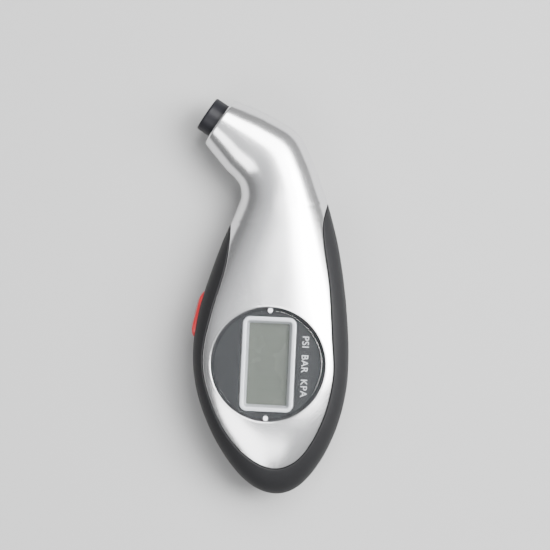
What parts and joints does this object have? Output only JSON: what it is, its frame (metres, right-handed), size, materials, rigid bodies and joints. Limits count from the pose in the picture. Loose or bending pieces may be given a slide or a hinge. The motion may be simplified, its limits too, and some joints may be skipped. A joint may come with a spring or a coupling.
{
  "type": "digital tyre pressure gauge",
  "caption": "Handheld digital tyre pressure gauge with a curved silver body, soft black grip, round dial with an upright display, side button and an angled valve nozzle.",
  "frame": {"origin": "on the plane that the back lies on, directly under the centre of the round dial", "axes": "+Z out of the dial, +Y up the display towards the head, +X to the right as the dial is seen; the nozzle leaves the head up and to the left"},
  "size_m": [0.0527, 0.1273, 0.0264],
  "materials": {
    "silver_paint": "satin metallic silver paint on moulded plastic",
    "grip_rubber": "matte black thermoplastic rubber",
    "clear_window": "clear polished plastic",
    "dial_print": "dark grey printed plate",
    "bezel_silver": "light silver, satin",
    "lcd": "grey-green reflective display glass",
    "white_plastic": "white moulded plastic",
    "zebra_rubber": "layered contact rubber",
    "board_green": "solder-masked fibreglass",
    "black_plastic": "black moulded plastic, fine grain",
    "seal_rubber": "soft black rubber",
    "silicone": "translucent silicone",
    "brass": "turned brass",
    "steel": "plated steel",
    "button_red": "red moulded plastic, satin"
  },
  "bodies": {
    "body": {"front_shell": "silver_paint", "rear_shell": "silver_paint", "grip_band": "grip_rubber", "dial_lens": "clear_window", "dial_face": "dial_print", "lens_pin_head": "bezel_silver", "lens_pin_tail": "bezel_silver", "display_frame": "bezel_silver", "lcd_glass": "lcd", "lcd_holder": "white_plastic", "backlight_panel": "white_plastic", "backlight_led": "white_plastic", "zebra_strip_head": "zebra_rubber", "zebra_strip_tail": "zebra_rubber", "circuit_board": "board_green", "controller_chip": "black_plastic", "clock_crystal": "steel", "pressure_sensor": "black_plastic", "board_screw_head": "steel", "board_screw_tail": "steel", "switch_body": "black_plastic", "nozzle_tip": "black_plastic", "valve_seal": "seal_rubber", "depressor_pin": "brass", "manifold": "brass", "sensor_hose": "silicone", "hose_clamp_manifold": "steel", "hose_clamp_sensor": "steel", "cell_holder": "black_plastic", "battery_cell": "steel", "contact_negative": "steel", "contact_positive": "steel", "case_screw_tail": "steel", "case_screw_neck_left": "steel", "case_screw_neck_right": "steel"},
    "button": {"power_button": "button_red"},
    "plunger": {"switch_plunger": "steel"},
    "cap": {"battery_cap": "silver_paint"}
  },
  "joints": [
    {"name": "button_press", "type": "slide", "parent": "body", "child": "button", "axis": [0.9789, -0.2045, 0], "range_m": [0, 0.0005], "stiffness_N_per_m": 4000, "springref_m": -0.00025},
    {"name": "plunger_press", "type": "slide", "parent": "body", "child": "plunger", "axis": [0.9789, -0.2045, 0], "range_m": [0, 0.0005]},
    {"name": "cap_turn", "type": "hinge", "parent": "body", "child": "cap", "pos_m": [0.0015, 0.014, 0.002], "axis": [0, 0, -1], "range_deg": [0, 40]}
  ],
  "couplings": [
    {"joint": "plunger_press", "follows": "button_press", "ratio": 1}
  ]
}
